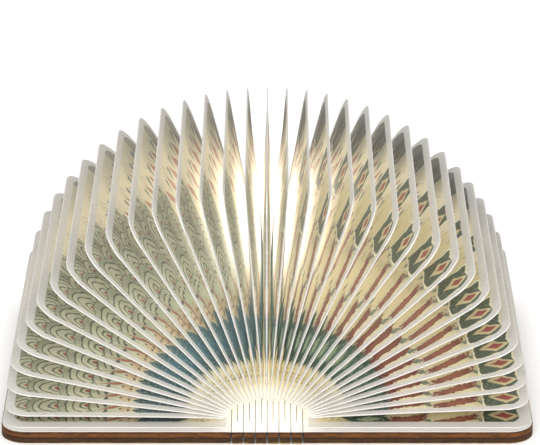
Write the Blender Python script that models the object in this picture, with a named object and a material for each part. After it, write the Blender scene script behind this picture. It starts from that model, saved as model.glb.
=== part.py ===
"""A folding book lamp, opened flat on its covers, at its real size in metres with +Z up.

X runs across the open book, Y along its spine and Z up. The origin is under the middle of the spine,
on the surface that the open covers lie on. Each cover is one panel of wood, and the spine between
them is cut into strips that turn a little at every cut. The leaves stand in a fan over a light bar.
Every hinge axis is parallel to Y. Each moving piece hangs from an empty on its own axis.
"""

import math

import bmesh
import bpy
from mathutils import Matrix, Vector

# The open book
OPEN_WIDTH = 0.179
SPINE_LENGTH = 0.122
WOOD_THICKNESS = 0.004
COVER_CORNER_RADIUS = 0.0085
WOOD_EDGE_ROUND = 0.0003
TOUCH_GAP = 0.0003
CUT_OVERRUN = 0.002
SAME_POINT_DISTANCE = 0.000001
SOFTENED_EDGE_DEG = 50
SHARP_EDGE_DEG = 40

# The living hinge in the spine
BENDS_PER_SIDE = 6
BENDS_PER_CARRIER = 3
SIDE_TURN = math.pi / 2
STRIP_PITCH = 0.002
KERF = 0.0006
SPINE_SLIT_BRIDGE = 0.012

# The paper on the covers
PAPER_GAP = 0.0001
LINER_THICKNESS = 0.0002
LINER_INSET = 0.0003
LINER_ROOT_INSET = 0.0004
SHEET_THICKNESS = 0.0003
SHEET_END_INSET = 0.0029
SHEET_FORE_INSET = 0.0013
SHEET_ROOT_INSET = 0.0017
SHEET_CORNER_RADIUS = 0.0055

# The fan of leaves
LEAF_COUNT = 34
LEAF_THICKNESS = 0.00022
LEAF_ROOT_CORNER = 0.002
STACK_CLEARANCE = 0.0001
ARCH_HALF_WIDTH = 0.0132
ARCH_FOOT_RISE = 0.0042
ARCH_CROWN_RISE = 0.005
PIVOT_HALF_SPREAD = 0.00825
PIVOT_RISE = 0.001
FAN_MIDDLE_DEG = 2.4
FAN_HALF_SPAN_DEG = 86.8
FAN_SKEW_DEG = -3.4
FAN_GATHER_DEG = 1.6

# The light bar on the spine
BAR_HALF_WIDTH = 0.0046
BAR_WALL = 0.0006
BAR_FOOT_HALF_WIDTH = 0.0015
BAR_FOOT_HEIGHT = 0.0009
BAR_FLARE_HEIGHT = 0.0013
BAR_WALL_TOP = 0.006
BAR_FLOOR = 0.0002
BAR_FRONT_SETBACK = 0.026
BAR_BACK_SETBACK = 0.006
LED_BOARD_THICKNESS = 0.0006
LED_BOARD_HALF_WIDTH = 0.0041
LED_BOARD_BACK_SETBACK = 0.014
LED_COUNT = 7
LED_LENGTH = 0.0035
LED_WIDTH = 0.0028
LED_HEIGHT = 0.0006
LED_END_SETBACK = 0.006
DIFFUSER_RISE = 0.0017
DIFFUSER_WALL = 0.0005
BATTERY_HALF_WIDTH = 0.0036
BATTERY_HEIGHT = 0.003
BATTERY_TO_BOARD_GAP = 0.004
BATTERY_EDGE_ROUND = 0.0008
BATTERY_FRONT_SETBACK = 0.018
CHARGE_BOARD_HALF_WIDTH = 0.0035
CHARGE_BOARD_LENGTH = 0.024
CHARGE_BOARD_THICKNESS = 0.0008
CHARGE_CHIP_LENGTH = 0.005
CHARGE_CHIP_HALF_WIDTH = 0.002
CHARGE_CHIP_HEIGHT = 0.0011
CHARGE_CHIP_SETBACK = 0.006
SOCKET_HALF_WIDTH = 0.0037
SOCKET_HEIGHT = 0.0026
SOCKET_LENGTH = 0.0056
SOCKET_WALL = 0.0003
SOCKET_DEPTH = 0.0046
SOCKET_MOUTH_TAPER = 0.0008
SWITCH_RADIUS = 0.0011
SWITCH_LENGTH = 0.010
SWITCH_LEAD_RADIUS = 0.0003
SWITCH_LEAD_LENGTH = 0.0015
SWITCH_FRONT_SETBACK = 0.002

# The magnets in the covers
MAGNET_RADIUS = 0.003
MAGNET_THICKNESS = 0.0018
MAGNET_FORE_INSET = 0.0085

# Faces on round shapes
CORNER_STEPS = 6
SHEET_CORNER_STEPS = 5
ROUND_STEPS = 24
DIFFUSER_STEPS = 14

# Heights and places that follow from the sizes above
HALF_WIDTH = OPEN_WIDTH / 2
HALF_SPINE = SPINE_LENGTH / 2
BEND_HEIGHT = WOOD_THICKNESS / 2
BEND_TURN = SIDE_TURN / BENDS_PER_SIDE
HINGE_ZONE_HALF = STRIP_PITCH * BENDS_PER_SIDE
PANEL_ROOT = HINGE_ZONE_HALF + KERF / 2
LINER_BASE = WOOD_THICKNESS + PAPER_GAP
SHEET_BASE = LINER_BASE + LINER_THICKNESS + PAPER_GAP
SHEET_TOP = SHEET_BASE + SHEET_THICKNESS
SHEET_ROOT = PANEL_ROOT + SHEET_ROOT_INSET
SHEET_FORE = HALF_WIDTH - SHEET_FORE_INSET
HALF_LEAF = HALF_SPINE - SHEET_END_INSET
LEAF_LENGTH = SHEET_FORE - ARCH_HALF_WIDTH
ARCH_FOOT = WOOD_THICKNESS + ARCH_FOOT_RISE
PIVOT_HEIGHT = WOOD_THICKNESS + PIVOT_RISE
BAR_BASE = WOOD_THICKNESS + TOUCH_GAP
BAR_FRONT = BAR_FRONT_SETBACK - HALF_SPINE
BAR_BACK = HALF_SPINE - BAR_BACK_SETBACK
TRAY_FLARE_BASE = BAR_BASE + BAR_FOOT_HEIGHT
TRAY_BODY_BASE = TRAY_FLARE_BASE + BAR_FLARE_HEIGHT
TRAY_FLOOR_TOP = TRAY_BODY_BASE + BAR_FLOOR
TRAY_TOP = WOOD_THICKNESS + BAR_WALL_TOP
TRAY_INNER_HALF = BAR_HALF_WIDTH - BAR_WALL
LED_BOARD_BASE = TRAY_TOP + TOUCH_GAP
LED_BOARD_TOP = LED_BOARD_BASE + LED_BOARD_THICKNESS
LED_BOARD_BACK = HALF_SPINE - LED_BOARD_BACK_SETBACK
DIFFUSER_BASE = LED_BOARD_TOP + TOUCH_GAP
CARRIED_BASE = TRAY_FLOOR_TOP + TOUCH_GAP
CHARGE_BOARD_FRONT = BAR_BACK - CHARGE_BOARD_LENGTH


def clear_scene():
    for old in list(bpy.data.objects):
        bpy.data.objects.remove(old, do_unlink=True)


def material(name, colour, roughness, metallic=0.0):
    made = bpy.data.materials.new(name)
    made.use_nodes = True
    shader = made.node_tree.nodes["Principled BSDF"]
    shader.inputs["Base Color"].default_value = (*colour, 1.0)
    shader.inputs["Roughness"].default_value = roughness
    shader.inputs["Metallic"].default_value = metallic
    return made


def new_object(name, mesh, finish, carrier=None, place=(0.0, 0.0, 0.0)):
    """An object at a place given in world axes, hung from its carrier without turning."""
    piece = bpy.data.objects.new(name, mesh)
    bpy.context.scene.collection.objects.link(piece)
    piece.location = Vector(place)
    if finish is not None:
        mesh.materials.append(finish)
    if carrier is not None:
        piece.parent = carrier
        piece.location = Vector(place) - world_place(carrier)
    return piece


def world_place(obj):
    """The sum of the locations of an object and of all that it hangs from; none of them is turned."""
    place = Vector(obj.location)
    while obj.parent is not None:
        obj = obj.parent
        place += obj.location
    return place


def axis_empty(name, place, carrier=None):
    empty = bpy.data.objects.new(name, None)
    bpy.context.scene.collection.objects.link(empty)
    empty.empty_display_size = WOOD_THICKNESS
    empty.location = Vector(place)
    if carrier is not None:
        empty.parent = carrier
        empty.location = Vector(place) - world_place(carrier)
    return empty


def as_helper(piece):
    piece.hide_render = True
    piece.display_type = "WIRE"
    return piece


def boolean(piece, helper, operation):
    step = piece.modifiers.new(operation.lower(), "BOOLEAN")
    step.operation = operation
    step.solver = "EXACT"
    step.object = helper


def soften(piece, width, segments=2):
    step = piece.modifiers.new("softened edges", "BEVEL")
    step.width = width
    step.segments = segments
    step.limit_method = "ANGLE"
    step.angle_limit = math.radians(SOFTENED_EDGE_DEG)


def prism(name, outline, start, end, along="Z"):
    """A mesh that carries a flat outline from start to end along one axis.

    An outline for Z is in X and Y, and one for Y is in X and Z. Either runs anticlockwise as a
    viewer sees it with the first axis to the right and the second one up.
    """
    def at(point, level):
        if along == "Z":
            return (point[0], point[1], level)
        return (point[0], level, point[1])

    low, high = (start, end) if along == "Z" else (end, start)
    built = bmesh.new()
    under = [built.verts.new(at(point, low)) for point in outline]
    over = [built.verts.new(at(point, high)) for point in outline]
    built.faces.new(list(reversed(under)))
    built.faces.new(over)
    for here in range(len(outline)):
        after = (here + 1) % len(outline)
        built.faces.new([under[here], under[after], over[after], over[here]])
    mesh = bpy.data.meshes.new(name)
    built.to_mesh(mesh)
    built.free()
    return mesh


def arc(centre, radius, start_deg, end_deg, steps):
    turn = (end_deg - start_deg) / steps
    angles = [math.radians(start_deg + turn * step) for step in range(steps + 1)]
    return [(centre[0] + radius * math.cos(a), centre[1] + radius * math.sin(a)) for a in angles]


def fore_rounded(root, fore, half, radius, steps, root_cut=0.0):
    """A rectangle from root to fore along the first axis, with its two fore corners rounded."""
    cut = [(root + root_cut, half), (root, half - root_cut)] if root_cut else [(root, half)]
    return (
        arc((fore - radius, radius - half), radius, -90, 0, steps)
        + arc((fore - radius, half - radius), radius, 0, 90, steps)
        + cut
        + [(x, -y) for x, y in reversed(cut)]
    )


def rectangle(half_width, low, high):
    return [(-half_width, low), (half_width, low), (half_width, high), (-half_width, high)]


def box(name, half_width, front, back, low, high):
    return prism(name, rectangle(half_width, low, high), front, back, along="Y")


def turned(name, profile, steps=ROUND_STEPS):
    """A mesh spun round the Z axis from points of radius and height; its ends lie on the axis."""
    built = bmesh.new()
    line = [built.verts.new((radius, 0.0, height)) for radius, height in profile]
    edges = [built.edges.new(pair) for pair in zip(line, line[1:])]
    bmesh.ops.spin(
        built, geom=line + edges, axis=(0, 0, 1), cent=(0, 0, 0), angle=math.tau, steps=steps
    )
    bmesh.ops.remove_doubles(built, verts=built.verts, dist=SAME_POINT_DISTANCE)
    bmesh.ops.recalc_face_normals(built, faces=built.faces)
    mesh = bpy.data.meshes.new(name)
    built.to_mesh(mesh)
    built.free()
    mesh.shade_smooth()
    mesh.set_sharp_from_angle(angle=math.radians(SHARP_EDGE_DEG))
    return mesh


def side_name(side):
    return "right" if side > 0 else "left"


def on_side(outline, side):
    """The outline itself on the right, and its mirror image in the spine on the left."""
    return outline if side > 0 else [(-x, y) for x, y in reversed(outline)]


def make_magnet_pocket(side, carrier):
    """The cutter of a blind round pocket, sunk in the inner face of a cover near its fore edge."""
    depth = MAGNET_THICKNESS + 2 * TOUCH_GAP
    radius = MAGNET_RADIUS + TOUCH_GAP
    top = depth + CUT_OVERRUN
    mesh = turned("pocket", [(0.0, 0.0), (radius, 0.0), (radius, top), (0.0, top)])
    place = (side * (HALF_WIDTH - MAGNET_FORE_INSET), 0.0, WOOD_THICKNESS - depth)
    return as_helper(new_object("pocket_cutter_" + side_name(side), mesh, None, carrier, place))


def make_magnet(side, finish, carrier):
    profile = [(0.0, 0.0), (MAGNET_RADIUS, 0.0), (MAGNET_RADIUS, MAGNET_THICKNESS), (0.0, MAGNET_THICKNESS)]
    height = WOOD_THICKNESS - TOUCH_GAP - MAGNET_THICKNESS
    place = (side * (HALF_WIDTH - MAGNET_FORE_INSET), 0.0, height)
    return new_object("magnet_" + side_name(side), turned("magnet", profile), finish, carrier, place)


def make_cover(side, finish, carrier):
    """One wooden cover panel, from the last bend of the spine to its fore edge."""
    outline = fore_rounded(PANEL_ROOT, HALF_WIDTH, HALF_SPINE, COVER_CORNER_RADIUS, CORNER_STEPS)
    mesh = prism("cover", on_side(outline, side), 0.0, WOOD_THICKNESS)
    hinge = world_place(carrier)
    mesh.transform(Matrix.Translation(-hinge))
    cover = new_object("cover_" + side_name(side), mesh, finish, carrier, hinge)
    soften(cover, WOOD_EDGE_ROUND)
    boolean(cover, make_magnet_pocket(side, carrier), "DIFFERENCE")
    return cover


def make_liner(side, finish, carrier):
    """The lining paper glued over the inner face of a cover."""
    fore = HALF_WIDTH - LINER_INSET
    radius = COVER_CORNER_RADIUS - LINER_INSET
    root = PANEL_ROOT + LINER_ROOT_INSET
    outline = fore_rounded(root, fore, HALF_SPINE - LINER_INSET, radius, CORNER_STEPS)
    mesh = prism("liner", on_side(outline, side), LINER_BASE, LINER_BASE + LINER_THICKNESS)
    hinge = world_place(carrier)
    mesh.transform(Matrix.Translation(-hinge))
    return new_object("liner_" + side_name(side), mesh, finish, carrier, hinge)


def make_end_sheet(side, finish, carrier):
    """The printed end sheet that lies on the lining paper, as large as a leaf."""
    outline = fore_rounded(SHEET_ROOT, SHEET_FORE, HALF_LEAF, SHEET_CORNER_RADIUS, SHEET_CORNER_STEPS)
    mesh = prism("end_sheet", on_side(outline, side), SHEET_BASE, SHEET_TOP)
    hinge = world_place(carrier)
    mesh.transform(Matrix.Translation(-hinge))
    return new_object("end_sheet_" + side_name(side), mesh, finish, carrier, hinge)


def make_strip(side, number, finish, carrier):
    """One narrow strip of the living hinge, between two cuts."""
    inner = STRIP_PITCH * number + KERF / 2
    outer = STRIP_PITCH * (number + 1) - KERF / 2
    outline = [(inner, 0.0), (outer, 0.0), (outer, WOOD_THICKNESS), (inner, WOOD_THICKNESS)]
    mesh = prism("hinge_strip", on_side(outline, side), -HALF_SPINE, HALF_SPINE, along="Y")
    hinge = world_place(carrier)
    mesh.transform(Matrix.Translation(-hinge))
    return new_object(f"hinge_strip_{side_name(side)}_{number}", mesh, finish, carrier, hinge)


def make_spine_centre(finish):
    """The middle strip, which stays still, slit from both ends and whole in the middle."""
    half = STRIP_PITCH - KERF / 2
    slit = KERF / 2
    bridge = SPINE_SLIT_BRIDGE / 2
    back_end = [(half, HALF_SPINE), (slit, HALF_SPINE), (slit, bridge)]
    back_end += [(-x, y) for x, y in reversed(back_end)]
    front_end = [(-x, -y) for x, y in back_end]
    mesh = prism("spine_centre", back_end + front_end, 0.0, WOOD_THICKNESS)
    return new_object("spine_centre_strip", mesh, finish)


def fan_angle(share):
    """How far a leaf leans from upright, towards +X, for its share of the fan from -1 to 1.

    The fan leans a little to one side, and its leaves stand closer together near the middle.
    """
    gather = FAN_GATHER_DEG * math.sin(math.tau * share) * (1 - share**2)
    lean = FAN_MIDDLE_DEG + FAN_HALF_SPAN_DEG * share + FAN_SKEW_DEG * share**2 - gather
    return math.radians(lean)


def closed_cover_middle():
    """How far the middle of a closed cover's thickness stands from the middle of the spine."""
    return STRIP_PITCH * (1 + sum(math.cos(BEND_TURN * turn) for turn in range(1, BENDS_PER_SIDE)))


def hinge_reaches():
    """How far each hinge axis of one side lies from the middle of the spine, from strip 1 to the cover.

    Strip 3 and the cover carry the fold and turn by three bends each. Their axes put the folded cover
    just where six small bends would, either way. The strips between turn by one bend and by two.
    """
    middle = STRIP_PITCH * (BENDS_PER_SIDE + 1) / 2
    half_apart = (closed_cover_middle() - middle) / math.tan(SIDE_TURN / 4)
    inner = middle - 2 * STRIP_PITCH
    outer = middle + 2 * STRIP_PITCH
    return [inner, inner, middle - half_apart, outer, outer, middle + half_apart]


def closed_stack_half():
    """Half the width of the stack of leaves between the closed covers, to the last leaf's middle."""
    inner_face = closed_cover_middle() - WOOD_THICKNESS / 2 - (SHEET_TOP - WOOD_THICKNESS)
    return inner_face - STACK_CLEARANCE - LEAF_THICKNESS / 2


def make_leaf(number, finish):
    """A leaf turning on its own axis beside the light bar.

    The leaf's plane passes its axis at an offset, chosen so that the leaves lie evenly side by side
    in the closed book. Its root end lies on the arch over the light bar when the book is open flat.
    """
    share = 2 * (number - 1) / (LEAF_COUNT - 1) - 1
    lean = fan_angle(share)
    pivot_x = PIVOT_HALF_SPREAD * share
    offset = closed_stack_half() * share - pivot_x
    arch_x = ARCH_HALF_WIDTH * math.sin(lean)
    arch_z = ARCH_FOOT + ARCH_CROWN_RISE * math.cos(lean)
    root = (arch_x - pivot_x) * math.sin(lean) + (arch_z - PIVOT_HEIGHT) * math.cos(lean)
    outline = fore_rounded(
        root, root + LEAF_LENGTH, HALF_LEAF, SHEET_CORNER_RADIUS, SHEET_CORNER_STEPS, LEAF_ROOT_CORNER
    )
    low = -offset - LEAF_THICKNESS / 2
    mesh = prism("leaf", outline, low, low + LEAF_THICKNESS)
    pivot = axis_empty(f"axis_leaf_{number:02d}", (pivot_x, 0.0, PIVOT_HEIGHT))
    leaf = new_object(f"leaf_{number:02d}", mesh, finish, pivot, (pivot_x, 0.0, PIVOT_HEIGHT))
    leaf.rotation_euler.y = lean - math.pi / 2
    return leaf


def make_tray(finish):
    """The long tray of the light bar: a narrow foot on the spine, sloped sides and two thin walls."""
    profile = [
        (BAR_FOOT_HALF_WIDTH, BAR_BASE),
        (BAR_FOOT_HALF_WIDTH, TRAY_FLARE_BASE),
        (BAR_HALF_WIDTH, TRAY_BODY_BASE),
        (BAR_HALF_WIDTH, TRAY_TOP),
    ]
    outline = profile + [(-x, z) for x, z in reversed(profile)]
    tray = new_object("light_bar_tray", prism("tray", outline, BAR_FRONT, BAR_BACK, along="Y"), finish)
    top = TRAY_TOP + CUT_OVERRUN
    hollow = box("hollow", TRAY_INNER_HALF, BAR_FRONT + BAR_WALL, BAR_BACK + CUT_OVERRUN, TRAY_FLOOR_TOP, top)
    boolean(tray, as_helper(new_object("tray_hollow_cutter", hollow, None)), "DIFFERENCE")
    return tray


def make_led_board(finish):
    """The lamp board across the tray's walls, with a row of light-emitting chips on top."""
    mesh = box("led_board", LED_BOARD_HALF_WIDTH, BAR_FRONT, LED_BOARD_BACK, LED_BOARD_BASE, LED_BOARD_TOP)
    board = new_object("led_board", mesh, finish)
    first = BAR_FRONT + LED_END_SETBACK
    last = LED_BOARD_BACK - LED_END_SETBACK
    for number in range(LED_COUNT):
        middle = first + (last - first) * number / (LED_COUNT - 1)
        front = middle - LED_LENGTH / 2
        low = LED_BOARD_TOP - LED_BOARD_THICKNESS / 2
        chip = box("led_chip", LED_WIDTH / 2, front, front + LED_LENGTH, low, LED_BOARD_TOP + LED_HEIGHT)
        boolean(board, as_helper(new_object(f"led_chip_shape_{number + 1}", chip, None)), "UNION")
    return board


def make_diffuser(finish):
    """The translucent cover over the chips, a low arched channel standing on the lamp board."""
    inner_half = LED_BOARD_HALF_WIDTH - DIFFUSER_WALL
    inner_rise = DIFFUSER_RISE - DIFFUSER_WALL
    turns = [math.pi * step / DIFFUSER_STEPS for step in range(DIFFUSER_STEPS + 1)]
    outer = [(LED_BOARD_HALF_WIDTH * math.cos(a), DIFFUSER_BASE + DIFFUSER_RISE * math.sin(a)) for a in turns]
    inner = [(inner_half * math.cos(a), DIFFUSER_BASE + inner_rise * math.sin(a)) for a in turns]
    outline = outer + list(reversed(inner))
    mesh = prism("diffuser", outline, BAR_FRONT, LED_BOARD_BACK, along="Y")
    mesh.shade_smooth()
    mesh.set_sharp_from_angle(angle=math.radians(SHARP_EDGE_DEG))
    return new_object("diffuser", mesh, finish)


def make_battery(finish):
    """The flat cell, which fills the tray from behind the switch to just before the charging board."""
    front = BAR_FRONT + BATTERY_FRONT_SETBACK
    back = CHARGE_BOARD_FRONT - BATTERY_TO_BOARD_GAP
    top = CARRIED_BASE + BATTERY_HEIGHT
    mesh = box("battery", BATTERY_HALF_WIDTH, front, back, CARRIED_BASE, top)
    battery = new_object("battery_cell", mesh, finish)
    soften(battery, BATTERY_EDGE_ROUND, segments=3)
    return battery


def make_charge_board(finish):
    """The charging board at the back of the tray, with its controller chip."""
    top = CARRIED_BASE + CHARGE_BOARD_THICKNESS
    half_width = CHARGE_BOARD_HALF_WIDTH
    mesh = box("charge_board", half_width, CHARGE_BOARD_FRONT, BAR_BACK, CARRIED_BASE, top)
    board = new_object("charge_board", mesh, finish)
    chip_front = CHARGE_BOARD_FRONT + CHARGE_CHIP_SETBACK
    low = top - CHARGE_BOARD_THICKNESS / 2
    chip_back = chip_front + CHARGE_CHIP_LENGTH
    chip = box("chip", CHARGE_CHIP_HALF_WIDTH, chip_front, chip_back, low, top + CHARGE_CHIP_HEIGHT)
    boolean(board, as_helper(new_object("charge_chip_shape", chip, None)), "UNION")
    return board


def socket_outline(half_width, low, high, taper):
    """A rectangle whose two lower corners are cut away, as on a small charging socket."""
    return [
        (taper - half_width, low),
        (half_width - taper, low),
        (half_width, low + taper),
        (half_width, high),
        (-half_width, high),
        (-half_width, low + taper),
    ]


def make_socket(finish):
    """The charging socket on the board, its mouth facing the back end of the spine."""
    low = CARRIED_BASE + CHARGE_BOARD_THICKNESS + TOUCH_GAP
    high = low + SOCKET_HEIGHT
    front = BAR_BACK - SOCKET_LENGTH
    shell = socket_outline(SOCKET_HALF_WIDTH, low, high, SOCKET_MOUTH_TAPER)
    socket_mesh = prism("socket", shell, front, BAR_BACK, along="Y")
    socket = new_object("charging_socket", socket_mesh, finish)
    inner = socket_outline(
        SOCKET_HALF_WIDTH - SOCKET_WALL, low + SOCKET_WALL, high - SOCKET_WALL, SOCKET_MOUTH_TAPER
    )
    mouth = prism("mouth", inner, BAR_BACK - SOCKET_DEPTH, BAR_BACK + CUT_OVERRUN, along="Y")
    boolean(socket, as_helper(new_object("socket_mouth_cutter", mouth, None)), "DIFFERENCE")
    return socket


def make_switch(finish):
    """The magnet-worked switch: a small tube with a lead at each end, lying along the tray."""
    tube_end = SWITCH_LEAD_LENGTH + SWITCH_LENGTH
    profile = [
        (0.0, 0.0),
        (SWITCH_LEAD_RADIUS, 0.0),
        (SWITCH_LEAD_RADIUS, SWITCH_LEAD_LENGTH),
        (SWITCH_RADIUS, SWITCH_LEAD_LENGTH),
        (SWITCH_RADIUS, tube_end),
        (SWITCH_LEAD_RADIUS, tube_end),
        (SWITCH_LEAD_RADIUS, tube_end + SWITCH_LEAD_LENGTH),
        (0.0, tube_end + SWITCH_LEAD_LENGTH),
    ]
    place = (0.0, BAR_FRONT + BAR_WALL + SWITCH_FRONT_SETBACK, CARRIED_BASE + SWITCH_RADIUS)
    switch = new_object("magnet_switch", turned("switch", profile), finish, None, place)
    switch.rotation_euler.x = -math.pi / 2
    return switch


def make_side(side, wood, lining, paper, steel):
    """The strips and the cover on one side. Strip 3 carries all that lies beyond it."""
    carrier = None
    for number, reach in enumerate(hinge_reaches(), start=1):
        place = (side * reach, 0.0, BEND_HEIGHT)
        axis = axis_empty(f"axis_{side_name(side)}_{number}", place, carrier)
        if number < BENDS_PER_SIDE:
            make_strip(side, number, wood, axis)
        if number % BENDS_PER_CARRIER == 0:
            carrier = axis
    make_cover(side, wood, carrier)
    make_liner(side, lining, carrier)
    make_end_sheet(side, paper, carrier)
    make_magnet(side, steel, carrier)


def main():
    clear_scene()
    wood = material("walnut ply", (0.22, 0.095, 0.042), 0.5)
    lining = material("cream lining paper", (0.72, 0.66, 0.53), 0.8)
    paper = material("printed paper", (0.80, 0.76, 0.64), 0.75)
    tray_white = material("moulded white plastic", (0.85, 0.84, 0.80), 0.4)
    board_green = material("circuit board", (0.05, 0.20, 0.10), 0.45)
    milk = material("milky diffuser", (0.92, 0.90, 0.84), 0.35)
    foil = material("cell wrap", (0.10, 0.16, 0.35), 0.35)
    steel = material("plated steel", (0.62, 0.62, 0.62), 0.3, metallic=1.0)
    glass = material("switch tube", (0.35, 0.45, 0.38), 0.15)

    make_spine_centre(wood)
    make_side(1, wood, lining, paper, steel)
    make_side(-1, wood, lining, paper, steel)
    for number in range(1, LEAF_COUNT + 1):
        make_leaf(number, paper)
    make_tray(tray_white)
    make_led_board(board_green)
    make_diffuser(milk)
    make_battery(foil)
    make_charge_board(board_green)
    make_socket(steel)
    make_switch(glass)


main()
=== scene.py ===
"""A folding book lamp, open flat: wooden covers, a slit wooden spine and a fan of printed paper leaves.

X runs across the open book, Y along its spine and Z up, in metres, as in the part.
"""

import math
from types import SimpleNamespace

import bpy
import numpy as np
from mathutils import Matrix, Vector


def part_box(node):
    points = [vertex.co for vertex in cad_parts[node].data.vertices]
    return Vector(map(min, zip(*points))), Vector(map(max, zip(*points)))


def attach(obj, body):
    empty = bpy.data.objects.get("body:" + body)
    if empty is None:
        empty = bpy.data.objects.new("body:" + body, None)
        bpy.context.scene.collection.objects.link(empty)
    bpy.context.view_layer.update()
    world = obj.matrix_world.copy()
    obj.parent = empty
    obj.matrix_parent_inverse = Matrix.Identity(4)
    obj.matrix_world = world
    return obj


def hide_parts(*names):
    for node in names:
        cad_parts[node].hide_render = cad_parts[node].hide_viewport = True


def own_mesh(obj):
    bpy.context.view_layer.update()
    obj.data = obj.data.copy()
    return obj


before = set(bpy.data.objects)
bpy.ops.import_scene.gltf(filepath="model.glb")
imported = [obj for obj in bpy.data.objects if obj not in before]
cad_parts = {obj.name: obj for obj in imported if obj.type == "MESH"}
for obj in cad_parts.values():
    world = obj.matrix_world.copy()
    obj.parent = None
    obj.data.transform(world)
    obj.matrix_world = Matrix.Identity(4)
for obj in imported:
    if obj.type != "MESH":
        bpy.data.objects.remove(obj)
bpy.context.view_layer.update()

MM = 0.001
TINY = 1e-9
SIDES = (("right", 1), ("left", -1))

# The wood, as in the part
WOOD_TOP = 4.0 * MM
HALF_OPEN = 89.5 * MM
HALF_SPINE = 61.0 * MM
STRIP_PITCH = 2.0 * MM
CUTS_A_SIDE = 6
KERF = 0.6 * MM

# The leaves, with the swell of their folded paper and the droop of the outermost
LEAF_COUNT = 34
LEAF_LENGTH = 74.98 * MM
LEAF_WIDTH = 116.2 * MM
LEAF_STATIONS = 61
LEAF_STEPS = 44
LEAF_CORNER = 9.0 * MM
LEAF_ROOT_CORNER = 2.0 * MM
SEALED_RIM = 0.42 * MM
RIM_FLAT = 2.6 * MM
THINNEST_HALF = 0.11 * MM
SWELL_DEPTH = 4.9 * MM
SWELL_REACH = 37.0 * MM
SWELL_GAIN = 1.25
END_FADE = 0.8
FILL_OF_GAP = 0.84
OUTER_LEAF_DROOP = 2.0 * MM
DROOPING_LEAVES = 4
DROOP_POWER = 1.5
NEARLY_LEVEL = 0.2
FAN_CENTRE_HEIGHT = 5.0 * MM

# The lining on the spine, the bridges across its cuts and the light bar beside them
PAPER_GAP = 0.02 * MM
LINING_THICKNESS = 0.15 * MM
LINING_BASE = WOOD_TOP + PAPER_GAP
LINING_TOP = LINING_BASE + LINING_THICKNESS
LINING_SLIT = 0.22 * MM
LINING_INSET = 0.3 * MM
LINING_LIT_TO = 9.0 * MM
LINING_DARK_FROM = 20.0 * MM
END_BRIDGE = 8.5 * MM
MIDDLE_BRIDGE = 12.0 * MM
BAR_CLEARANCE = 0.3 * MM
BRIGHT_SPOT_PITCH = 8.5 * MM

# The floor, the world and the lamps
FLOOR_LEVEL = -0.1 * MM
FLOOR_HALF = 4.0
FLOOR_FADE = 12.0 * MM
# How much painted light whitens the floor for the camera, beside the lamp and farther away
FLOOR_PAINTED_LIGHT_NEAR = 0.26
FLOOR_PAINTED_LIGHT_FAR = 0.5
SPINE_ZONE = 13.0 * MM
WORLD_ON_LAMP = 0.56
LAMP_AIM_HEIGHT = 30.0 * MM

# The print's own measures, in millimetres
PRINT_REACH = 75.0
PRINT_WIDTH = 116.2
PRINT_MIDDLE = PRINT_WIDTH / 2
PRINT_RIM = 3.0
PRINT_CORNER = 6.5
LEAF_PRINT_START = -5.0
END_SHEET_PRINT_START = 4.0
END_SHEET_ROOT = 13.2
END_SHEET_RIM = 4.5
ZIGZAG_PITCH = 9.0
SCALLOP_WIDTH = 21.0
ROOT_GLOW_REACH = 9.0
SWELL_GLOW_ALONG = 62.0
SWELL_GLOW_HALF_WIDTH = 34.0
SWELL_GLOW_OUT = 43.0
SWELL_GLOW_HALF_HEIGHT = 15.0


def linear(colour):
    """The scene-linear colour of an sRGB hex value."""
    parts = [int(colour[at:at + 2], 16) / 255 for at in (1, 3, 5)]
    return tuple(c / 12.92 if c <= 0.04045 else ((c + 0.055) / 1.055) ** 2.4 for c in parts) + (1.0,)


def add(tree, kind, *values, pick=0, **named):
    """Adds a node and returns one of its outputs.

    A second word in kind is the operation. Values fill or link the inputs in their order, a capitalised
    name fills or links the input of that name, and any other name is a setting.
    """
    kind, _, operation = kind.partition(" ")
    node = tree.nodes.new("ShaderNode" + kind)
    if operation:
        node.operation = operation
    inputs = dict(enumerate(values))
    for name, value in named.items():
        if name[0].isupper():
            inputs[name.replace("_", " ")] = value
        else:
            setattr(node, name, value)
    for name, value in inputs.items():
        if isinstance(value, bpy.types.NodeSocket):
            tree.links.new(value, node.inputs[name])
        else:
            node.inputs[name].default_value = linear(value) if isinstance(value, str) else value
    return node.outputs[pick]


def finish_of(name):
    """A new material with its node tree and its shader."""
    made = bpy.data.materials.new(name)
    made.use_nodes = True
    return made, made.node_tree, made.node_tree.nodes["Principled BSDF"]


def coloured(ramp_output, stops):
    """Sets a colour ramp's stops from pairs of place and hex colour."""
    ramp = ramp_output.node.color_ramp
    while len(ramp.elements) > 1:
        ramp.elements.remove(ramp.elements[-1])
    ramp.elements[0].position = stops[0][0]
    ramp.elements[0].color = linear(stops[0][1])
    for place, colour in stops[1:]:
        ramp.elements.new(place).color = linear(colour)
    return ramp_output


def band(tree, value, low, high, edge):
    """One between low and high and zero outside, with soft edges this wide."""
    rise = add(tree, "MapRange", value, low - edge, low + edge)
    fall = add(tree, "MapRange", value, high - edge, high + edge, 1.0, 0.0)
    return add(tree, "Math MULTIPLY", rise, fall)


def repeat(tree, value, pitch, middle=0.0):
    """How far a value lies from the nearest of the middles that follow each other at a pitch."""
    shifted = add(tree, "Math ADD", value, pitch / 2 - middle)
    return add(tree, "Math SUBTRACT", add(tree, "Math FLOORED_MODULO", shifted, pitch), pitch / 2)


def overlap(tree, *masks):
    """The product of several masks: how far all of them hold."""
    whole = masks[0]
    for mask in masks[1:]:
        whole = add(tree, "Math MULTIPLY", whole, mask)
    return whole


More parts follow.
